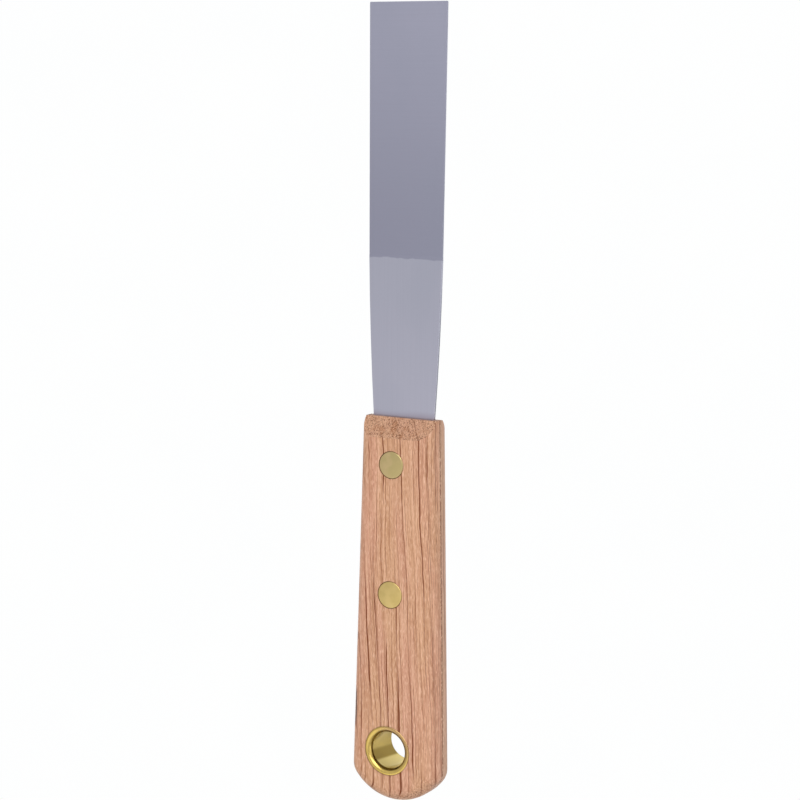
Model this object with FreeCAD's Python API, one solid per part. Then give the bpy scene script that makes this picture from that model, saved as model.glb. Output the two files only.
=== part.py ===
import FreeCAD, Part
import math
import os
from FreeCAD import Vector

# Flexible putty knife lying flat on the back of its handle, in millimetres.
# +X runs along the knife to the blade's tip, +Y across it, +Z up out of the front of the handle.
# The origin is on the resting plane, half way along the knife and on its centre line.

# ---- driving dimensions -------------------------------------------------------------------------
LENGTH = 231.6                 # butt of the handle to the tip of the blade
BLADE_REACH = 118.1            # part of the blade that stands out of the handle

TIP_WIDTH = 25.0               # blade width at the working edge
GRIND_WIDTH = 23.7             # blade width where the ground zone begins
WAIST_WIDTH = 22.3             # blade width half way between grind line and handle
MOUTH_WIDTH = 19.8             # blade width where it enters the handle
GRIND_REACH = 72.3             # length of the ground, flexible zone
STOCK = 0.95                   # thickness of the unground steel
TIP_THICKNESS = 0.45           # thickness of the ground steel at the working edge
GRIND_STEP = 0.07              # depth of the grinding shoulder on each face
GRIND_STEP_RUN = 1.0           # length over which that shoulder falls
TIP_CORNER = 0.3               # radius of the two tip corners

TANG_WIDTH = 17.6              # hidden part of the blade, between the scales
TANG_SHOULDER = 12.0           # distance inside the mouth where the tang reaches its own width
TANG_REACH = 63.5              # how far the tang goes into the handle

HANDLE_THICKNESS = 12.7        # both scales together
HANDLE_MOUTH_WIDTH = 23.4
HANDLE_BUTT_WIDTH = 29.0       # width that the sides aim at, at the very end of the handle
BUTT_RADIUS = 16.5             # broad arc across the end of the handle
BUTT_CORNER = 5.4              # radius that joins the arc to the sides
ROUNDOVER = 4.75               # rounding of the long edges of both scales
BEVEL_RUN = 5.4                # length of the slope cut across the mouth end of each scale
MOUTH_LAND = 1.6               # height of the square end left on each scale beside the blade
MOUTH_CORNER = 0.5             # radius of the mouth corners, seen from the front

RIVET_Y = 0.6                  # the rivets sit a little off the centre line
RIVET_FROM_TIP = {"upper": 131.2, "lower": 169.3}
RIVET_HEAD_RADIUS = 3.95
RIVET_HEAD_HEIGHT = 1.5
RIVET_CROWN = 0.12             # height of the domed top of the front heads
RIVET_EDGE = 0.25              # rounding of the rim of each head
RIVET_RECESS = 0.05            # how far the rear heads sit below the back of the handle
RIVET_GAP = 0.08               # gap between a head and its counterbore
BARREL_RADIUS = 2.5
PIN_RADIUS = 1.6
PIN_END_GAP = 0.6              # space left beyond the pin and beyond the barrel

EYELET_FROM_TIP = 216.0
EYELET_Y = 1.0                 # and the eyelet a little more
EYELET_BORE_RADIUS = 5.5
EYELET_FLANGE_RADIUS = 7.35
EYELET_WALL = 0.4
EYELET_CREST_RADIUS = 6.9      # where the rolled flanges stand highest
FRONT_RISE = 1.3               # from the front end of the bore up to the flange's crest
REAR_RISE = 0.45               # the rear flange is flatter
EYELET_ROLL = 0.16             # height of the crest over the flange's outer rim
EYELET_PROUD = 0.06            # how far the front crest stands above the wood
EYELET_RECESS = 0.05           # how far the rear crest stays below the wood

# ---- places worked out from them ----------------------------------------------------------------
TIP_X = LENGTH / 2
BUTT_X = -LENGTH / 2
MOUTH_X = TIP_X - BLADE_REACH
GRIND_X = TIP_X - GRIND_REACH
EYELET_X = TIP_X - EYELET_FROM_TIP
MID_Z = HANDLE_THICKNESS / 2
FRONT_Z = HANDLE_THICKNESS
OVERSIZE = 5.0                 # how far cutting tools reach past what they cut

UP = Vector(0, 0, 1)


def lift(shape, x=0.0, y=0.0, z=0.0):
    """Move a shape without changing it."""
    shape.translate(Vector(x, y, z))
    return shape


def mirrored_wire(half):
    """Close a run of edges on the +Y side with its mirror image in the centre line."""
    other = [edge.mirror(Vector(0, 0, 0), Vector(0, 1, 0)) for edge in half]
    return Part.Wire(Part.__sortEdges__(half + other))


def slab(wire, bottom, height):
    """Extrude a flat outline from one height by another."""
    return lift(Part.Face(wire).extrude(UP * height), z=bottom)


def line(start, end):
    return Part.LineSegment(start, end).toShape()


def arc(start, middle, end):
    return Part.Arc(start, middle, end).toShape()


def turned(points_and_arcs, x, y, base_z):
    """Turn a closed profile of (radius, height) edges about a vertical axis."""
    face = Part.Face(Part.Wire(points_and_arcs))
    return lift(face.revolve(Vector(0, 0, 0), UP, 360), x, y, base_z)


# ---- blade --------------------------------------------------------------------------------------
def blade_outline():
    tip = TIP_WIDTH / 2
    tang = TANG_WIDTH / 2
    tang_end = MOUTH_X - TANG_REACH
    diagonal = TIP_CORNER * (1 - math.sqrt(0.5))
    points = {
        "tip_middle": Vector(TIP_X, 0, 0),
        "tip_start": Vector(TIP_X, tip - TIP_CORNER, 0),
        "tip_corner": Vector(TIP_X - diagonal, tip - diagonal, 0),
        "tip_end": Vector(TIP_X - TIP_CORNER, tip, 0),
        "grind": Vector(GRIND_X, GRIND_WIDTH / 2, 0),
        "waist": Vector((GRIND_X + MOUTH_X) / 2, WAIST_WIDTH / 2, 0),
        "mouth": Vector(MOUTH_X, MOUTH_WIDTH / 2, 0),
        "shoulder": Vector(MOUTH_X - TANG_SHOULDER, tang, 0),
        "tang_side": Vector(tang_end + tang, tang, 0),
        "tang_round": Vector(tang_end + tang * (1 - math.sqrt(0.5)), tang * math.sqrt(0.5), 0),
        "tang_end": Vector(tang_end, 0, 0),
    }
    half = [
        line(points["tip_middle"], points["tip_start"]),
        arc(points["tip_start"], points["tip_corner"], points["tip_end"]),
        line(points["tip_end"], points["grind"]),
        arc(points["grind"], points["waist"], points["mouth"]),
        line(points["mouth"], points["shoulder"]),
        line(points["shoulder"], points["tang_side"]),
        arc(points["tang_side"], points["tang_round"], points["tang_end"]),
    ]
    return mirrored_wire(half)


def grinding_relief():
    """What the grinding wheel takes off the front face, from the grind line to the tip."""
    surface = STOCK / 2
    tip_z = TIP_THICKNESS / 2
    past = (surface - GRIND_STEP - tip_z) / GRIND_REACH * OVERSIZE
    side = [
        Vector(GRIND_X, 0, surface),
        Vector(GRIND_X + GRIND_STEP_RUN, 0, surface - GRIND_STEP),
        Vector(TIP_X + OVERSIZE, 0, tip_z - past),
        Vector(TIP_X + OVERSIZE, 0, surface + OVERSIZE),
        Vector(GRIND_X, 0, surface + OVERSIZE),
    ]
    face = Part.Face(Part.makePolygon(side + side[:1]))
    return lift(face.extrude(Vector(0, TIP_WIDTH + 2 * OVERSIZE, 0)), y=-TIP_WIDTH / 2 - OVERSIZE)


def make_blade():
    blade = slab(blade_outline(), -STOCK / 2, STOCK)
    relief = grinding_relief()
    blade = blade.cut(relief).cut(relief.mirror(Vector(0, 0, 0), UP))
    for from_tip in RIVET_FROM_TIP.values():
        hole = Part.makeCylinder(BARREL_RADIUS, STOCK + 2 * OVERSIZE)
        blade = blade.cut(lift(hole, TIP_X - from_tip, RIVET_Y, -STOCK / 2 - OVERSIZE))
    return lift(blade, z=MID_Z)


# ---- handle scales ------------------------------------------------------------------------------
def handle_half_width(x):
    """Half the width of the handle's straight, tapering sides at a place along it."""
    share = (MOUTH_X - x) / (MOUTH_X - BUTT_X)
    return (HANDLE_MOUTH_WIDTH + (HANDLE_BUTT_WIDTH - HANDLE_MOUTH_WIDTH) * share) / 2


def handle_outline(mouth_x):
    """Outline seen from the front: square mouth, tapering sides, rounded corners, broad butt arc."""
    centre_x = BUTT_X + BUTT_RADIUS
    slope = (handle_half_width(BUTT_X) - handle_half_width(MOUTH_X)) / (MOUTH_X - BUTT_X)
    tilt = math.atan(slope)
    # The corner's centre is one corner radius inside the side and inside the butt arc.
    inner = BUTT_RADIUS - BUTT_CORNER
    side_gap = handle_half_width(centre_x) * math.cos(tilt) - BUTT_CORNER
    turn = math.acos(side_gap / inner)
    heading = math.pi / 2 - tilt + turn
    corner = Vector(centre_x + inner * math.cos(heading), inner * math.sin(heading), 0)
    normal = math.pi / 2 - tilt

    def on_corner(angle):
        return corner + Vector(BUTT_CORNER * math.cos(angle), BUTT_CORNER * math.sin(angle), 0)

    def on_butt(angle):
        return Vector(centre_x + BUTT_RADIUS * math.cos(angle), BUTT_RADIUS * math.sin(angle), 0)

    mouth = Vector(mouth_x, handle_half_width(mouth_x), 0)
    half = [
        line(Vector(mouth_x, 0, 0), mouth),
        line(mouth, on_corner(normal)),
        arc(on_corner(normal), on_corner((normal + heading) / 2), on_corner(heading)),
        arc(on_butt(heading), on_butt((heading + math.pi) / 2), on_butt(math.pi)),
    ]
    return mirrored_wire(half)


def mouth_bevel():
    """Wedge that slopes the front face down to the square land at the mouth."""
    rise = MID_Z - MOUTH_LAND
    grow = OVERSIZE / BEVEL_RUN
    side = [
        Vector(MOUTH_X - BEVEL_RUN * (1 + grow), 0, FRONT_Z + rise * grow),
        Vector(MOUTH_X + BEVEL_RUN * grow, 0, MID_Z + MOUTH_LAND - rise * grow),
        Vector(MOUTH_X + BEVEL_RUN * grow, 0, FRONT_Z + rise * grow),
    ]
    face = Part.Face(Part.makePolygon(side + side[:1]))
    width = HANDLE_BUTT_WIDTH + 2 * OVERSIZE
    return lift(face.extrude(Vector(0, width, 0)), y=-width / 2)


def mouth_trim():
    """Upright block whose two rounded corners shape the mouth, seen from the front."""
    block = Part.makeBox(LENGTH, HANDLE_MOUTH_WIDTH, HANDLE_THICKNESS)
    block = lift(block, MOUTH_X - LENGTH, -HANDLE_MOUTH_WIDTH / 2, 0)
    upright = [
        edge for edge in block.Edges
        if abs(edge.tangentAt(edge.FirstParameter).z) > 0.9 and edge.CenterOfMass.x > MOUTH_X - 1
    ]
    rounded = block.makeFillet(MOUTH_CORNER, upright)
    corners = block.cut(rounded)
    return corners


def handle_blank():
    """The shaped handle as one piece of wood, before it is parted and cut for the metal."""
    blank = slab(handle_outline(MOUTH_X), 0, HANDLE_THICKNESS)
    rims = [
        edge for edge in blank.Edges
        if min(abs(edge.CenterOfMass.z), abs(edge.CenterOfMass.z - FRONT_Z)) < 1e-6
        and edge.CenterOfMass.x < MOUTH_X - 1e-6
    ]
    blank = blank.makeFillet(ROUNDOVER, rims)
    bevel = mouth_bevel()
    blank = blank.cut(bevel).cut(bevel.mirror(Vector(0, 0, MID_Z), UP))
    return blank.cut(mouth_trim())


def tang_recess():
    """Pocket that the blade fills, shared by the two scales."""
    return slab(blade_outline(), MID_Z - STOCK / 2, STOCK)


def rivet_hole(x):
    """Barrel hole with a counterbore for a head at each face."""
    hole = Part.makeCylinder(BARREL_RADIUS, HANDLE_THICKNESS + 2 * OVERSIZE)
    hole = lift(hole, x, RIVET_Y, -OVERSIZE)
    for bottom in (RIVET_RECESS + RIVET_HEAD_HEIGHT - OVERSIZE, FRONT_Z - RIVET_HEAD_HEIGHT):
        seat = Part.makeCylinder(RIVET_HEAD_RADIUS + RIVET_GAP, OVERSIZE)
        hole = hole.fuse(lift(seat, x, RIVET_Y, bottom))
    return hole


def make_scales():
    blank = handle_blank().cut(tang_recess()).cut(eyelet_envelope())
    for from_tip in RIVET_FROM_TIP.values():
        blank = blank.cut(rivet_hole(TIP_X - from_tip))
    half_space = Part.makeBox(LENGTH + 2 * OVERSIZE, HANDLE_BUTT_WIDTH + 2 * OVERSIZE, MID_Z)
    half_space = lift(half_space, BUTT_X - OVERSIZE, -HANDLE_BUTT_WIDTH / 2 - OVERSIZE, 0)
    rear = blank.common(half_space)
    front = blank.common(lift(half_space.copy(), z=MID_Z))
    return front, rear


# ---- rivets -------------------------------------------------------------------------------------
def head_profile(foot_radius, foot_z, crown):
    """Edges of a head, from its foot out to its rim and over the top to the axis; top at height 0."""
    under = -RIVET_HEAD_HEIGHT
    rim = RIVET_HEAD_RADIUS
    diagonal = RIVET_EDGE * (1 - math.sqrt(0.5))
    shoulder = Vector(rim - RIVET_EDGE, 0, 0)
    edges = [
        line(Vector(foot_radius, 0, foot_z), Vector(foot_radius, 0, under)),
        line(Vector(foot_radius, 0, under), Vector(rim, 0, under)),
        line(Vector(rim, 0, under), Vector(rim, 0, -RIVET_EDGE)),
        arc(Vector(rim, 0, -RIVET_EDGE), Vector(rim - diagonal, 0, -diagonal), shoulder),
    ]
    if crown > 0:
        # A cap of one sphere, whose centre is on the axis.
        sphere = (shoulder.x ** 2 + crown ** 2) / (2 * crown)
        half_angle = math.asin(shoulder.x / sphere) / 2
        lowered = sphere * (1 - math.cos(half_angle))
        half_way = Vector(sphere * math.sin(half_angle), 0, crown - lowered)
        edges.append(arc(shoulder, half_way, Vector(0, 0, crown)))
    else:
        edges.append(line(shoulder, Vector(0, 0, 0)))
    return edges


def make_rivet_male(x):
    """Front half: domed head with a solid pin."""
    foot = RIVET_RECESS + RIVET_HEAD_HEIGHT + PIN_END_GAP - FRONT_Z
    edges = head_profile(PIN_RADIUS, foot, RIVET_CROWN)
    edges.append(line(Vector(0, 0, RIVET_CROWN), Vector(0, 0, foot)))
    edges.append(line(Vector(0, 0, foot), Vector(PIN_RADIUS, 0, foot)))
    return turned(edges, x, RIVET_Y, FRONT_Z)


def make_rivet_female(x):
    """Rear half: flat head with a barrel that the pin is pressed into."""
    barrel_end = RIVET_RECESS + RIVET_HEAD_HEIGHT + PIN_END_GAP - FRONT_Z
    edges = head_profile(BARREL_RADIUS, barrel_end, 0)
    floor = -RIVET_HEAD_HEIGHT
    edges += [
        line(Vector(0, 0, 0), Vector(0, 0, floor)),
        line(Vector(0, 0, floor), Vector(PIN_RADIUS, 0, floor)),
        line(Vector(PIN_RADIUS, 0, floor), Vector(PIN_RADIUS, 0, barrel_end)),
        line(Vector(PIN_RADIUS, 0, barrel_end), Vector(BARREL_RADIUS, 0, barrel_end)),
    ]
    upright = turned(edges, 0, 0, 0)
    flipped = upright.mirror(Vector(0, 0, 0), UP)
    return lift(flipped, x, RIVET_Y, RIVET_RECESS)


# ---- hanging eyelet -----------------------------------------------------------------------------
def flange_points(crest_z, rise):
    """Places on one end of the eyelet's section, as (radius, height above the middle)."""
    start_z = crest_z - rise
    return {
        "bore_end": Vector(EYELET_BORE_RADIUS, 0, start_z),
        "crest": Vector(EYELET_CREST_RADIUS, 0, crest_z),
        "rim": Vector(EYELET_FLANGE_RADIUS, 0, crest_z - EYELET_ROLL),
        "seat": Vector(EYELET_CREST_RADIUS, 0, crest_z - EYELET_WALL),
        "under": Vector(EYELET_BORE_RADIUS + EYELET_WALL, 0, start_z),
    }


def roll(wide_end, crest):
    """Quarter of an ellipse from the bore or the rim up to the flange's crest."""
    centre = Vector(crest.x, 0, wide_end.z)
    return Part.ArcOfEllipse(Part.Ellipse(wide_end, crest, centre), 0, math.pi / 2).toShape()


def eyelet_end(points, cut_z):
    """Edges of one end, from the bore out over the flange to the outer wall.
    With a cut_z, they run out straight to that height instead, as the hole in the wood does."""
    if cut_z is None:
        top = [roll(points["bore_end"], points["crest"]), roll(points["rim"], points["crest"])]
    else:
        corner = Vector(EYELET_FLANGE_RADIUS, 0, cut_z)
        top = [line(Vector(0, 0, cut_z), corner), line(corner, points["rim"])]
    return top + [line(points["rim"], points["seat"]), line(points["seat"], points["under"])]


def eyelet_section(cut_z=None):
    """Closed section of the eyelet: front end above the middle, rear end below it."""
    front = flange_points(MID_Z + EYELET_PROUD, FRONT_RISE)
    rear = flange_points(MID_Z - EYELET_RECESS, REAR_RISE)
    upper = eyelet_end(front, cut_z)
    lower = [edge.mirror(Vector(0, 0, 0), UP) for edge in eyelet_end(rear, cut_z)]
    outer = line(front["under"], Vector(rear["under"].x, 0, -rear["under"].z))
    if cut_z is None:
        inner = line(front["bore_end"], Vector(rear["bore_end"].x, 0, -rear["bore_end"].z))
    else:
        inner = line(UP * cut_z, UP * -cut_z)
    return Part.__sortEdges__(upper + lower + [inner, outer])


def eyelet_envelope():
    """The hole that the eyelet fills in the wood."""
    return turned(eyelet_section(MID_Z + OVERSIZE), EYELET_X, EYELET_Y, MID_Z)


def make_eyelet():
    return turned(eyelet_section(), EYELET_X, EYELET_Y, MID_Z)


# ---- assembly -----------------------------------------------------------------------------------
def build():
    front_scale, rear_scale = make_scales()
    parts = {
        "blade": make_blade(),
        "front_scale": front_scale,
        "rear_scale": rear_scale,
        "hang_eyelet": make_eyelet(),
    }
    for place, from_tip in RIVET_FROM_TIP.items():
        parts[place + "_rivet_male"] = make_rivet_male(TIP_X - from_tip)
        parts[place + "_rivet_female"] = make_rivet_female(TIP_X - from_tip)
    return parts


def main():
    os.makedirs("parts", exist_ok=True)
    for name, shape in build().items():
        solid = shape if shape.ShapeType == "Solid" else shape.Solids[0]
        box = solid.BoundBox
        corners = (box.XMin, box.YMin, box.ZMin, box.XMax, box.YMax, box.ZMax)
        print(name, "solids", len(shape.Solids), "valid", shape.isValid(),
              "volume", round(solid.Volume, 1), "box", [round(value, 2) for value in corners])
        solid.exportStep("parts/" + name + ".step")


main()
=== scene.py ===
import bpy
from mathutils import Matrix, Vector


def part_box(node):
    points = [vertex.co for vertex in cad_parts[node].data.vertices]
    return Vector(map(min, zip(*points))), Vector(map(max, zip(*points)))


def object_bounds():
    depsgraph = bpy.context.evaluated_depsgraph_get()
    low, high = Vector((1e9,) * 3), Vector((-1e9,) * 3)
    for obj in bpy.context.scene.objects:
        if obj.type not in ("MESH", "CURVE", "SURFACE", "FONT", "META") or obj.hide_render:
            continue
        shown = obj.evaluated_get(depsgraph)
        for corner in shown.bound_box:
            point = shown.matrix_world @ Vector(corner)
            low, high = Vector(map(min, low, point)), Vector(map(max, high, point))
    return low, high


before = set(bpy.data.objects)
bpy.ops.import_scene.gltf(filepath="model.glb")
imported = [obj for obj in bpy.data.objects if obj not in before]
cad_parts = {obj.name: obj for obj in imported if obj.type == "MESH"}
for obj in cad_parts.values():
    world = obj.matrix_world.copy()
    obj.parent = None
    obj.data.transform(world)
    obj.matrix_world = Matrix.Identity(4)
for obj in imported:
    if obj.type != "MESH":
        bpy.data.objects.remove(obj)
cad_bounds = [list(corner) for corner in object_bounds()]

import math

import bpy
from mathutils import Matrix, Vector

MM = 0.001
X, Y, Z = 0, 1, 2              # along the knife, across it, up out of the handle's front
scene = bpy.context.scene
floor_z = cad_bounds[0][Z]


# ---- node trees -----------------------------------------------------------------------------------
class Shader:
    """A material's node tree. Each method adds nodes and returns their output, ready to plug in.
    Places and sizes are in millimetres, in the knife's own axes."""

    def __init__(self, name):
        self.material = bpy.data.materials.new(name)
        self.material.use_nodes = True
        self.tree = self.material.node_tree
        self.tree.nodes.clear()

    def node(self, kind, inputs=(), **settings):
        made = self.tree.nodes.new("ShaderNode" + kind)
        for key, value in settings.items():
            setattr(made, key, value)
        for key, value in dict(inputs).items():
            self.plug(made.inputs[key], value)
        return made

    def plug(self, socket, value):
        if isinstance(value, bpy.types.NodeSocket):
            self.tree.links.new(value, socket)
        else:
            socket.default_value = value

    def math(self, operation, a, b=0.0, c=0.0):
        return self.node("Math", {0: a, 1: b, 2: c}, operation=operation).outputs[0]

    def times(self, product, *factors):
        for factor in factors:
            product = self.math("MULTIPLY", product, factor)
        return product

    def smooth(self, value, start, end, before=0.0, after=1.0):
        """A smooth step, from before where value is at start to after where it is at end."""
        made = self.node("MapRange", {"Value": value}, interpolation_type="SMOOTHSTEP")
        for key, number in (("From Min", start), ("From Max", end), ("To Min", before), ("To Max", after)):
            made.inputs[key].default_value = number
        return made.outputs["Result"]

    def band(self, value, rise_start, rise_end, fall_start, fall_end):
        """1 between the rise and the fall, and 0 outside them."""
        return self.times(self.smooth(value, rise_start, rise_end),
                          self.smooth(value, fall_start, fall_end, 1.0, 0.0))

    def mix(self, share, a, b):
        made = self.node("Mix", data_type="RGBA", blend_type="MIX")
        self.plug(made.inputs[0], share)
        self.plug(made.inputs[6], a)
        self.plug(made.inputs[7], b)
        return made.outputs[2]

    def layer(self, colour, mask, share, tint):
        """colour, with that share of the tint over it wherever the mask is 1."""
        return self.mix(self.times(mask, share), colour, tint)

    def place(self):
        """Object coordinates in millimetres, as (x, y, z) sockets."""
        coordinates = self.node("TexCoord").outputs["Object"]
        scaled = self.node("VectorMath", {0: coordinates, 3: 1 / MM}, operation="SCALE").outputs[0]
        split = self.node("SeparateXYZ", {0: scaled})
        return split.outputs[X], split.outputs[Y], split.outputs[Z]

    def facing(self, axis):
        """How squarely the surface faces that axis, either way, from 0 to 1."""
        normal = self.node("NewGeometry").outputs["Normal"]
        return self.math("ABSOLUTE", self.node("SeparateXYZ", {0: normal}).outputs[axis])

    def from_axis(self, place, centre_x, centre_y):
        """Offsets along X and Y from an upright axis, and the distance from it."""
        dx = self.math("SUBTRACT", place[X], centre_x)
        dy = self.math("SUBTRACT", place[Y], centre_y)
        return dx, dy, self.math("SQRT", self.math("ADD", self.times(dx, dx), self.times(dy, dy)))

    def vector(self, x, y, z):
        return self.node("CombineXYZ", {0: x, 1: y, 2: z}).outputs[0]

    def stretched(self, place, sizes, shift=0.0):
        """A place divided by a size along each axis, moved to a part of the pattern of its own."""
        parts = [self.math("MULTIPLY_ADD", axis, 1 / size, shift) for axis, size in zip(place, sizes)]
        return self.vector(*parts)

    def noise(self, vector, detail=2.0):
        made = self.node("TexNoise", {"Vector": vector, "Scale": 1.0, "Detail": detail})
        return made.outputs["Fac"]

    def cells(self, vector):
        """Distance to the nearest cell centre, and a random number from 0 to 1 for each cell."""
        made = self.node("TexVoronoi", {"Vector": vector, "Scale": 1.0})
        pick = self.node("SeparateColor", {0: made.outputs["Color"]}).outputs[0]
        return made.outputs["Distance"], pick

    def bump(self, height, depth):
        """height, from 0 to 1, as relief of that depth in metres."""
        return self.node("Bump", {"Height": height, "Distance": depth, "Strength": 1.0}).outputs["Normal"]

    def finish(self, colour, roughness, normal, **constants):
        """Close the tree with one Principled shader. Constants are set on its own sockets."""
        shader = self.node("BsdfPrincipled",
                           {"Base Color": colour, "Roughness": roughness, "Normal": normal})
        for name, value in constants.items():
            shader.inputs[name.replace("_", " ")].default_value = value
        self.node("OutputMaterial", {"Surface": shader.outputs[0]})
        return self.material


def rgb(red, green, blue):
    """A colour given as 0-255 display values, as the linear colour that a shader takes."""
    linear = [((v / 255 + 0.055) / 1.055) ** 2.4 if v > 10 else v / 255 / 12.92 for v in (red, green, blue)]
    return (*linear, 1.0)


# ---- oak ------------------------------------------------------------------------------------------
# Every pattern adds a number of its own to the board's shift, so that no two of them run together.
RING_SPACING = 2.35            # growth rings, millimetres apart
RING_LEAN = (0.72, 0.69)       # share of y and of z in the distance across the rings
LINE_REACH = 0.15              # half the width of the line on each ring
LINE_LENGTH = 42.0             # how far a line usually runs unbroken
THIN_SPACING = 0.83            # the same three sizes for the thinner lines between the rings
THIN_REACH = 0.075
THIN_LENGTH = 24.0
GRAIN_DRIFT = 0.045            # sideways drift of the grain for each millimetre along the handle
GRAIN_WANDER = 3.6             # how far the grain wanders from side to side along the handle
GRAIN_RIPPLE = 0.7             # how far it ripples on the way
STREAK_CENTRE = (-88.2, 12.3)  # x and y of the mineral streak
OAK = {
    "tan": rgb(206, 157, 122),
    "pink": rgb(206, 152, 126),
    "pale streak": rgb(222, 174, 143),
    "dark streak": rgb(186, 137, 104),
    "pale fibre": rgb(232, 188, 156),
    "dark fibre": rgb(172, 122, 86),
    "pale fleck": rgb(238, 196, 168),
    "dark fleck": rgb(162, 110, 76),
    "ring shade": rgb(170, 118, 84),
    "vessel": rgb(140, 92, 62),
    "thin line": rgb(128, 70, 32),
    "line": rgb(110, 50, 14),
    # painted sheen of reflected light, on the side below the joint
    "painted side sheen": rgb(188, 164, 146),
    "torn fibre": rgb(232, 198, 172),
    "joint": rgb(112, 70, 44),
    "cut end": rgb(194, 148, 118),
    "smudge": rgb(166, 108, 70),
    "pale grit": rgb(234, 192, 160),
    "dark grit": rgb(134, 88, 58),
    "open vessel": rgb(104, 62, 36),
    "mineral streak": rgb(76, 52, 44),
    "dirt": rgb(112, 76, 40),
}


def follow_grain(s, place, shift):
    """The place with y taken along the grain, and the ripple that the grain makes there."""
    x, y, z = place
    y = s.math("MULTIPLY_ADD", x, -GRAIN_DRIFT, y)
    wander = s.noise(s.stretched((x, y, z), (55, 12, 12), shift), detail=1.0)
    ripple = s.noise(s.stretched((x, y, z), (8, 3, 3), shift + 7))
    y = s.math("ADD", y, s.math("MULTIPLY_ADD", wander, GRAIN_WANDER, -0.5 * GRAIN_WANDER))
    y = s.math("ADD", y, s.math("MULTIPLY_ADD", ripple, GRAIN_RIPPLE, -0.5 * GRAIN_RIPPLE))
    return (x, y, z), ripple


def ring_lines(s, place, across, spacing, reach, length, shift):
    """Thin dark lines on every ring boundary, broken along their length, each at places of its own.
    Also gives the soft shade that follows each line."""
    rings = s.math("DIVIDE", across, spacing)
    number = s.math("FLOOR", rings)
    offset = s.math("MULTIPLY_ADD", s.math("SUBTRACT", rings, number), spacing, -0.5 * spacing)
    along = s.math("DIVIDE", place[X], length)
    strength = s.noise(s.vector(along, s.times(number, 3.7), shift))
    strength = s.smooth(strength, 0.4, 0.58)
    local_reach = s.math("MULTIPLY_ADD", strength, reach, 0.35 * reach)
    line = s.math("DIVIDE", s.math("ABSOLUTE", offset), local_reach)
    line = s.times(s.smooth(line, 0.35, 1.0, 1.0, 0.0), strength)
    return line, s.band(offset, -0.05, 0.02, 0.1, 0.9)


def plain_wood(s, place, fibre, shift):
    """Patches, streaks, fibres and flecks, all drawn out along the grain."""
    streak = s.noise(s.stretched(place, (38, 0.9, 0.9), shift + 9))
    patch = s.noise(s.stretched(place, (40, 7, 7), shift + 13), detail=1.0)
    fleck = s.noise(s.stretched(place, (1.7, 0.19, 0.19), shift + 15), detail=1.0)
    colour = s.mix(s.smooth(patch, 0.35, 0.65), OAK["tan"], OAK["pink"])
    colour = s.layer(colour, s.smooth(streak, 0.48, 0.3), 0.8, OAK["pale streak"])
    colour = s.layer(colour, s.smooth(streak, 0.5, 0.75), 0.7, OAK["dark streak"])
    colour = s.layer(colour, s.smooth(fibre, 0.5, 0.68), 0.6, OAK["dark fibre"])
    colour = s.layer(colour, s.smooth(fibre, 0.47, 0.33), 0.5, OAK["pale fibre"])
    colour = s.layer(colour, s.smooth(fleck, 0.56, 0.66), 0.55, OAK["pale fleck"])
    return s.layer(colour, s.smooth(fleck, 0.42, 0.32), 0.5, OAK["dark fleck"])


def joint_tones(s, colour, place, joint_z):
    """Glue, dust and torn fibres along the joint of the scales, and a painted grey sheen on the side below
    it.
    """
    side = s.smooth(s.facing(Z), 0.6, 0.3)
    below = s.smooth(place[Z], joint_z + 0.1, joint_z - 0.7, 0.0, 0.4)
    # Painted sheen: the side faces below the joint are mixed towards grey, standing in for reflected light.
    colour = s.mix(s.times(side, below), colour, OAK["painted side sheen"])
    crumb = s.noise(s.stretched(place, (0.9, 0.9, 0.4), 23))
    height = s.math("ABSOLUTE", s.math("SUBTRACT", place[Z], joint_z))
    torn = s.times(s.smooth(height, 0.4, 1.2, 1.0, 0.0), side, s.smooth(crumb, 0.44, 0.36))
    colour = s.layer(colour, torn, 0.6, OAK["torn fibre"])
    seam = s.times(s.smooth(height, 0.15, 0.6, 1.0, 0.0), side)
    return s.mix(s.times(seam, s.smooth(crumb, 0.38, 0.52, 0.25, 0.75)), colour, OAK["joint"])


def end_grain_tones(s, colour, place, shift):
    """Where the grain is cut across, the fibres drink the finish and the vessels show as open dots.
    Also gives the dots, to sink them into the surface."""
    cut = s.smooth(s.facing(X), 0.3, 0.6)
    distance, pick = s.cells(s.stretched(place, (3, 0.5, 0.5), shift + 17))
    crowd = s.noise(s.stretched(place, (9, 4, 4), shift + 19), detail=1.0)
    pick = s.math("ADD", pick, s.math("MULTIPLY_ADD", crowd, 1.6, -0.8))
    dot = s.times(s.smooth(distance, 0.22, 0.46, 1.0, 0.0), s.smooth(pick, 0.1, 0.3), cut)
    smudge = s.noise(s.stretched(place, (5, 2.4, 2.4), shift + 25))
    grit = s.noise(s.stretched(place, (2, 0.24, 0.24), shift + 21), detail=1.0)
    colour = s.layer(colour, cut, 0.45, OAK["cut end"])
    colour = s.layer(colour, s.times(s.smooth(smudge, 0.5, 0.68), cut), 0.6, OAK["smudge"])
    colour = s.layer(colour, s.times(s.smooth(grit, 0.54, 0.66), cut), 0.6, OAK["pale grit"])
    colour = s.layer(colour, s.times(s.smooth(grit, 0.44, 0.32), cut), 0.5, OAK["dark grit"])
    return s.layer(colour, dot, 0.75, OAK["open vessel"]), dot


def mineral_streak(s, colour, place, ripple, joint_z):
    """One dark streak along the left-hand edge of the front scale, beside the eyelet."""
    streak_x, streak_y = STREAK_CENTRE
    bend = s.math("SUBTRACT", place[Y], s.math("MULTIPLY_ADD", ripple, 0.6, streak_y - 0.3))
    streak = s.smooth(s.math("ABSOLUTE", bend), 0.2, 0.7, 1.0, 0.0)
    along = s.math("ABSOLUTE", s.math("SUBTRACT", place[X], streak_x))
    front = s.smooth(place[Z], joint_z + 1.0, joint_z + 3.0)
    streak = s.times(streak, s.smooth(along, 3.0, 6.2, 0.9, 0.0), front)
    return s.mix(streak, colour, OAK["mineral streak"])


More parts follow.
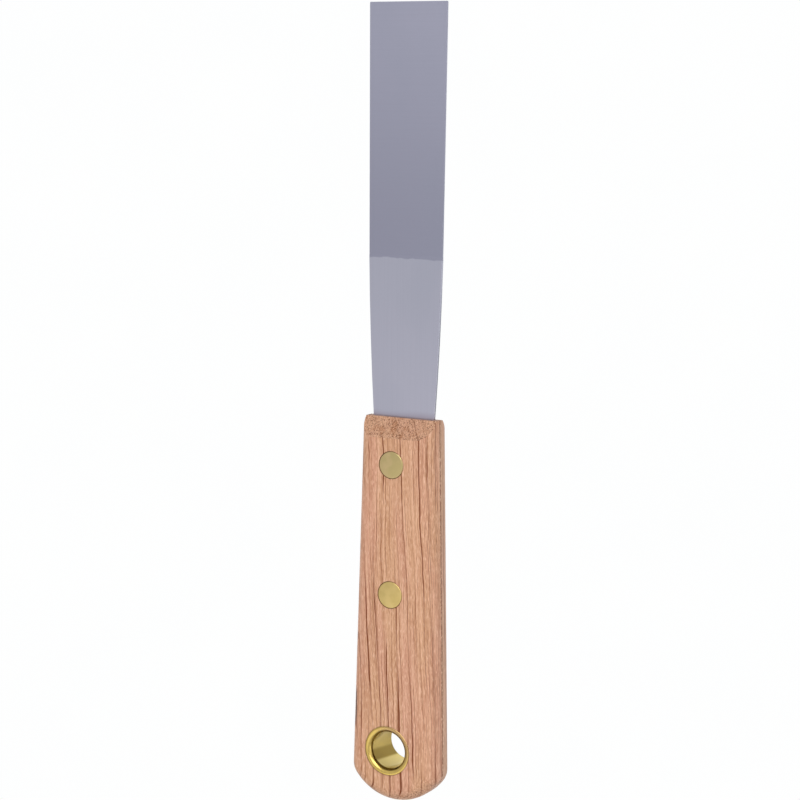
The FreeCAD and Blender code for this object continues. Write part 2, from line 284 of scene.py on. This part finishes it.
def oak(name, shift, joint_z, metal):
    """Red oak: thin dark lines of open vessels, fine fibres along X, darker where it is cut across.
    joint_z is the plane where the two scales meet. metal lists the (x, y, radius) of what is set
    into the face, where dirt gathers."""
    s = Shader(name)
    straight = s.place()
    place, ripple = follow_grain(s, straight, shift)

    across = s.math("ADD", s.times(place[Y], RING_LEAN[0]), s.times(place[Z], RING_LEAN[1]))
    uneven = s.noise(s.stretched(place, (120, 7, 7), shift + 3), detail=1.0)
    across = s.math("MULTIPLY_ADD", uneven, 2.0, across)
    line, shade = ring_lines(s, place, across, RING_SPACING, LINE_REACH, LINE_LENGTH, shift + 1)
    between = s.math("ADD", across, 0.4)
    thin, _ = ring_lines(s, place, between, THIN_SPACING, THIN_REACH, THIN_LENGTH, shift + 2)
    thin = s.times(thin, 0.7)

    # Small vessels are scattered through each ring, as short dashes along the grain.
    distance, pick = s.cells(s.stretched(place, (8, 0.42, 0.42), shift + 11))
    vessel = s.times(s.smooth(distance, 0.14, 0.36, 1.0, 0.0), s.smooth(pick, 0.5, 0.85))

    fibre = s.noise(s.stretched(place, (15, 0.17, 0.17), shift + 5))
    colour = plain_wood(s, place, fibre, shift)
    colour = s.layer(colour, shade, 0.15, OAK["ring shade"])
    colour = s.layer(colour, vessel, 0.4, OAK["vessel"])
    colour = s.mix(thin, colour, OAK["thin line"])
    colour = s.layer(colour, line, 0.95, OAK["line"])
    colour = joint_tones(s, colour, straight, joint_z)
    colour, dot = end_grain_tones(s, colour, place, shift)
    colour = mineral_streak(s, colour, straight, ripple, joint_z)
    for centre_x, centre_y, radius in metal:
        _, _, out = s.from_axis(straight, centre_x, centre_y)
        dirt = s.smooth(out, radius + 0.05, radius + 0.32, 0.4, 0.0)
        colour = s.mix(dirt, colour, OAK["dirt"])

    roughness = s.math("MULTIPLY_ADD", fibre, 0.16, 0.5)
    roughness = s.math("MULTIPLY_ADD", line, 0.2, roughness)
    height = s.math("MULTIPLY_ADD", line, -1.0, s.times(fibre, 0.25))
    pits = s.math("MAXIMUM", vessel, s.math("MAXIMUM", thin, dot))
    height = s.math("MULTIPLY_ADD", pits, -0.45, height)
    return s.finish(colour, roughness, s.bump(height, 0.04 * MM), Specular_IOR_Level=0.22,
                    Sheen_Weight=0.2, Sheen_Roughness=0.3)


# ---- metals ---------------------------------------------------------------------------------------
STEEL = {
    "ground at grind line": rgb(155, 155, 172),
    # painted reflection, lighter towards the tip
    "painted reflection at tip": rgb(170, 170, 187),
    "rolled at grind line": rgb(183, 183, 197),
    "rolled at handle": rgb(187, 186, 200),
    "brush mark": rgb(150, 150, 166),
    "cloud": rgb(150, 156, 172),
    # painted shade on the lower half of the long edges
    "painted edge shade": rgb(96, 100, 112),
    # painted shadow at the handle's mouth
    "mouth_shadow": rgb(150, 134, 146),
}
EYELET = {
    "bore": rgb(224, 206, 134),
    # painted reflections down the bore
    "painted dark reflection": rgb(172, 150, 84),
    "painted bright reflection": rgb(254, 238, 170),
    # painted shade on one side of the flange
    "dulled flange": rgb(184, 146, 108),
    # painted shade in the throat
    "throat_shade": rgb(96, 70, 14),
}


def blade_steel(name, mouth_x, grind_x, tip_x, mid_z):
    """Spring steel: rolled and polished near the handle, ground darker from the grind line to the tip."""
    s = Shader(name)
    place = s.place()
    waver = s.noise(s.stretched(place, (9, 4, 9), 5))
    ground = s.math("ADD", place[X], s.math("MULTIPLY_ADD", waver, 1.2, -0.6))
    ground = s.smooth(ground, grind_x - 0.15, grind_x + 0.25)
    rolled = s.noise(s.stretched(place, (40, 0.12, 2), 1), detail=3.0)
    wheel = s.noise(s.stretched(place, (0.16, 30, 2), 2), detail=3.0)
    cloud = s.noise(s.stretched(place, (30, 12, 4), 3))
    marks = s.times(rolled, s.math("SUBTRACT", 1.0, ground))
    marks = s.math("MULTIPLY_ADD", wheel, ground, marks)

    # Painted reflection: the ground steel is made lighter towards the tip, standing in for brighter
    # surroundings.
    towards_tip = s.smooth(place[X], grind_x, tip_x)
    towards_handle = s.smooth(place[X], grind_x, grind_x - 45)
    ground_colour = s.mix(towards_tip, STEEL["ground at grind line"], STEEL["painted reflection at tip"])
    rolled_colour = s.mix(towards_handle, STEEL["rolled at grind line"], STEEL["rolled at handle"])
    colour = s.mix(ground, rolled_colour, ground_colour)
    colour = s.layer(colour, s.smooth(marks, 0.35, 0.75), 0.12, STEEL["brush mark"])
    colour = s.layer(colour, s.smooth(cloud, 0.4, 0.7), 0.1, STEEL["cloud"])
    # Painted shade: the lower half of the long edges is darkened near the handle.
    dark = s.times(s.smooth(s.facing(Y), 0.6, 0.9), s.smooth(place[X], mouth_x + 47.3, mouth_x + 22.3))
    dark = s.times(dark, s.smooth(place[Z], mid_z + 0.1, mid_z - 0.2, 0.0, 0.8))
    colour = s.mix(dark, colour, STEEL["painted edge shade"])
    # Painted shadow where the blade enters the handle.
    mouth_shadow = s.math("MULTIPLY_ADD", cloud, 1.6, place[X])
    mouth_shadow = s.smooth(mouth_shadow, mouth_x + 0.8, mouth_x + 3.2, 0.45, 0.0)
    colour = s.mix(mouth_shadow, colour, STEEL["mouth_shadow"])
    roughness = s.math("MULTIPLY_ADD", marks, 0.1, s.math("MULTIPLY_ADD", ground, 0.06, 0.27))
    return s.finish(colour, roughness, s.bump(marks, 0.003 * MM), Metallic=1.0)


def eyelet_tones(s, place, bore, shade):
    """Golden flange, paler bore with a dark and a bright painted reflection along it, painted shade in the
    throat.
    bore is the (x, y, radius) of the bore and the height where it turns out into the front flange."""
    centre_x, centre_y, radius, throat_z = bore
    dx, dy, out = s.from_axis(place, centre_x, centre_y)
    inside = s.smooth(out, radius + 0.05, radius + 0.3, 1.0, 0.0)
    turn = s.times(s.math("ARCTAN2", dy, dx), 180 / math.pi)
    turn = s.math("ADD", s.math("MODULO", s.math("ADD", turn, 360), 360), s.times(place[Z], 1.1))
    # Painted reflection: a dark and a bright streak down the bore, twisting a little with height.
    dull = s.band(turn, 104, 116, 140, 149)
    bright = s.band(turn, 142, 151, 215, 235)
    shade = s.layer(shade, inside, 0.7, EYELET["bore"])
    shade = s.layer(shade, s.times(dull, inside), 0.85, EYELET["painted dark reflection"])
    shade = s.mix(s.times(bright, inside), shade, EYELET["painted bright reflection"])
    # Painted shade: the flange is a browner gold on the side towards the blade and the right-hand edge of
    # the handle.
    flange_shade = s.math("MULTIPLY_ADD", dx, 0.7, s.times(dy, -0.7))
    flange_shade = s.smooth(s.math("DIVIDE", flange_shade, out), 0.0, 0.9)
    flange_shade = s.times(flange_shade, s.math("SUBTRACT", 1.0, inside))
    shade = s.layer(shade, flange_shade, 0.7, EYELET["dulled flange"])
    # Painted shade in the throat, standing higher on the side towards the butt.
    butt_side = s.smooth(s.math("DIVIDE", dx, -radius), 0.3, 1.0)
    top = s.math("MULTIPLY_ADD", butt_side, 0.55, throat_z + 0.45)
    throat_shade = s.smooth(s.math("SUBTRACT", place[Z], top), -0.12, 0.1, 1.0, 0.0)
    throat_shade = s.times(throat_shade, s.smooth(place[Z], throat_z - 0.15, throat_z))
    return s.layer(shade, throat_shade, 0.8, EYELET["throat_shade"])


def brass(name, colour, tarnish, roughness, bore=None):
    """Brass, faintly scratched, with a little tarnish in patches. bore is as for eyelet_tones."""
    s = Shader(name)
    place = s.place()
    cloud = s.noise(s.stretched(place, (3, 3, 3), 4))
    scratch = s.noise(s.stretched(place, (0.05, 1.4, 0.4), 6))
    cross = s.noise(s.stretched(place, (1.8, 0.06, 0.4), 8))
    marks = s.times(s.math("ADD", scratch, cross), 0.5)
    shade = s.mix(s.smooth(cloud, 0.35, 0.7), colour, tarnish)
    shade = s.layer(shade, s.smooth(marks, 0.5, 0.7), 0.25, tarnish)
    if bore:
        shade = eyelet_tones(s, place, bore, shade)
    rough = s.math("MULTIPLY_ADD", marks, 0.12, roughness)
    return s.finish(shade, rough, s.bump(marks, 0.002 * MM), Metallic=1.0)


# ---- pieces ---------------------------------------------------------------------------------------
GRIND_REACH = 72.3 * MM        # length of the ground zone
BORE_RADIUS = 5.5              # of the eyelet, in millimetres
BORE_TOP = 11.46               # height at which the bore turns out into the front flange


def dress(node, material):
    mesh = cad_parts[node].data
    mesh.materials.clear()
    mesh.materials.append(material)


def round_piece(node):
    """Centre and outer radius of a turned piece, in millimetres."""
    lo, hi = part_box(node)
    return (lo.x + hi.x) / 2 / MM, (lo.y + hi.y) / 2 / MM, (hi.x - lo.x) / 2 / MM


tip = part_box("blade")[1].x
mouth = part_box("front_scale")[1].x
fronts = [round_piece(node) for node in ("upper_rivet_male", "lower_rivet_male", "hang_eyelet")]
rears = [round_piece(node) for node in ("upper_rivet_female", "lower_rivet_female", "hang_eyelet")]
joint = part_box("front_scale")[0].z / MM
dress("front_scale", oak("oak_front", 0.0, joint, fronts))
dress("rear_scale", oak("oak_rear", 40.0, joint, rears))
middle = (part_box("blade")[0].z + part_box("blade")[1].z) / 2 / MM
dress("blade", blade_steel("satin_steel", mouth / MM, (tip - GRIND_REACH) / MM, tip / MM, middle))
olive_brass = brass("olive_brass", rgb(206, 182, 133), rgb(193, 174, 121), 0.28)
yellow_brass = brass("yellow_brass", rgb(218, 191, 126), rgb(206, 180, 114), 0.28)
dress("upper_rivet_male", olive_brass)
dress("upper_rivet_female", yellow_brass)
dress("lower_rivet_male", yellow_brass)
dress("lower_rivet_female", olive_brass)
eyelet_x, eyelet_y, _ = fronts[2]
dress("hang_eyelet", brass("bright_brass", rgb(217, 186, 105), rgb(204, 174, 96), 0.2,
                           (eyelet_x, eyelet_y, BORE_RADIUS, BORE_TOP)))


# ---- stage ----------------------------------------------------------------------------------------
FLOOR_HALF = 3.0               # half the side of the floor, in metres like the rest of the stage
DOME_RADIUS = 4.0
DOME_SIDES = 32
DOME_ROWS = 9


def lit_floor():
    """The floor as the light sees it: pale and dull."""
    s = Shader("pale_floor")
    grain = s.noise(s.stretched(s.place(), (3, 3, 3)))
    return s.finish(s.mix(grain, rgb(212, 212, 212), rgb(220, 220, 220)), 0.8,
                    s.bump(grain, 0.02 * MM), Specular_IOR_Level=0.1,
                    Emission_Color=rgb(255, 255, 255), Emission_Strength=0.24)


def white_paper():
    """The background as the camera sees it: paper that is lit evenly to white."""
    s = Shader("white_paper")
    grain = s.noise(s.stretched(s.place(), (40, 40, 40)))
    glow = s.mix(grain, rgb(253, 254, 254), rgb(255, 255, 255))
    shader = s.node("Emission", {"Color": glow, "Strength": 1.0})
    s.node("OutputMaterial", {"Surface": shader.outputs[0]})
    return s.material


def add_stage_mesh(name, points, faces, material):
    mesh = bpy.data.meshes.new(name)
    mesh.from_pydata(points, [], faces)
    mesh.materials.append(material)
    made = bpy.data.objects.new(name, mesh)
    scene.collection.objects.link(made)
    return made


def add_floor():
    """A pale floor that only the light meets."""
    corners = [(-FLOOR_HALF, -FLOOR_HALF, floor_z), (FLOOR_HALF, -FLOOR_HALF, floor_z),
               (FLOOR_HALF, FLOOR_HALF, floor_z), (-FLOOR_HALF, FLOOR_HALF, floor_z)]
    floor = add_stage_mesh("studio_floor", corners, [(0, 1, 2, 3)], lit_floor())
    floor.visible_camera = False


def add_background():
    """A white disc and dome that only the camera sees."""
    centre, crown, rim = 0, 1, 2
    points = [(0, 0, floor_z), (0, 0, floor_z + DOME_RADIUS)]
    for row in range(DOME_ROWS):
        rise = row / DOME_ROWS * math.pi / 2
        out = DOME_RADIUS * math.cos(rise)
        height = floor_z + DOME_RADIUS * math.sin(rise)
        for step in range(DOME_SIDES):
            turn = step / DOME_SIDES * 2 * math.pi
            points.append((out * math.cos(turn), out * math.sin(turn), height))
    top_row = rim + (DOME_ROWS - 1) * DOME_SIDES
    faces = []
    for step in range(DOME_SIDES):
        after = (step + 1) % DOME_SIDES
        faces.append((centre, rim + step, rim + after))
        faces.append((crown, top_row + after, top_row + step))
        for row in range(DOME_ROWS - 1):
            here = rim + row * DOME_SIDES
            above = here + DOME_SIDES
            faces.append((here + step, above + step, above + after, here + after))
    paper = add_stage_mesh("white_background", points, faces, white_paper())
    paper.visible_diffuse = False
    paper.visible_glossy = False
    paper.visible_transmission = False
    paper.visible_shadow = False


def direction(azimuth, elevation):
    """Unit vector towards a place seen at that azimuth and elevation, both in degrees.
    Azimuth 0 is on the -Y side and 90 on the +X side."""
    a, e = math.radians(azimuth), math.radians(elevation)
    return Vector((math.sin(a) * math.cos(e), -math.cos(a) * math.cos(e), math.sin(e)))


def add_softbox(name, azimuth, elevation, distance, size, power, glint_only=False):
    """A square light, size metres wide, that faces the knife from that direction and distance.
    power is in watts. With glint_only it shows in reflections and adds no diffuse light."""
    light = bpy.data.lights.new(name, "AREA")
    light.shape = "SQUARE"
    light.size = size
    light.energy = power
    lamp = bpy.data.objects.new(name, light)
    towards = direction(azimuth, elevation)
    lamp.location = towards * distance
    lamp.rotation_euler = towards.to_track_quat("Z", "Y").to_euler()
    lamp.visible_diffuse = not glint_only
    scene.collection.objects.link(lamp)


def add_world():
    """Soft light from above, over dark surroundings."""
    world = bpy.data.worlds.new("studio")
    scene.world = world
    world.use_nodes = True
    tree = world.node_tree
    split = tree.nodes.new("ShaderNodeSeparateXYZ")
    tree.links.new(tree.nodes.new("ShaderNodeTexCoord").outputs["Generated"], split.inputs[0])
    rise = tree.nodes.new("ShaderNodeMapRange")
    rise.interpolation_type = "SMOOTHSTEP"
    for key, value in (("From Min", -0.05), ("From Max", 0.6), ("To Min", 0.1), ("To Max", 0.72)):
        rise.inputs[key].default_value = value
    tree.links.new(split.outputs[Z], rise.inputs["Value"])
    background = tree.nodes["Background"]
    background.inputs["Color"].default_value = (0.97, 0.98, 1.0, 1.0)
    tree.links.new(rise.outputs["Result"], background.inputs["Strength"])


def add_camera():
    """Looks down along the knife's right-hand side, with the blade pointing up the picture."""
    aim = Vector((2.67, 1.475, 6.35)) * MM
    distance = 0.6171
    lean = math.radians(0.626)
    back = direction(16.03, 59.47)
    up = (Vector((1, 0, 0)) - back * back.x).normalized()
    up = Matrix.Rotation(lean, 3, back) @ up
    right = up.cross(back)
    camera = bpy.data.objects.new("camera", bpy.data.cameras.new("camera"))
    camera.data.lens = 96.3
    camera.data.sensor_width = 36
    camera.data.clip_start = 0.01
    turn = Matrix((right, up, back)).transposed().to_4x4()
    camera.matrix_world = Matrix.Translation(aim + back * distance) @ turn
    scene.collection.objects.link(camera)
    scene.camera = camera


add_floor()
add_background()
add_world()
add_softbox("key_light", 60, 62, 1.6, 1.3, 12)
add_softbox("fill_light", 250, 50, 1.8, 1.4, 3)
add_softbox("side_light", 350, 25, 1.8, 1.2, 3.2)
add_softbox("rim_light", 64, 42, 1.4, 0.5, 3, glint_only=True)
add_camera()
scene.view_settings.view_transform = "Standard"
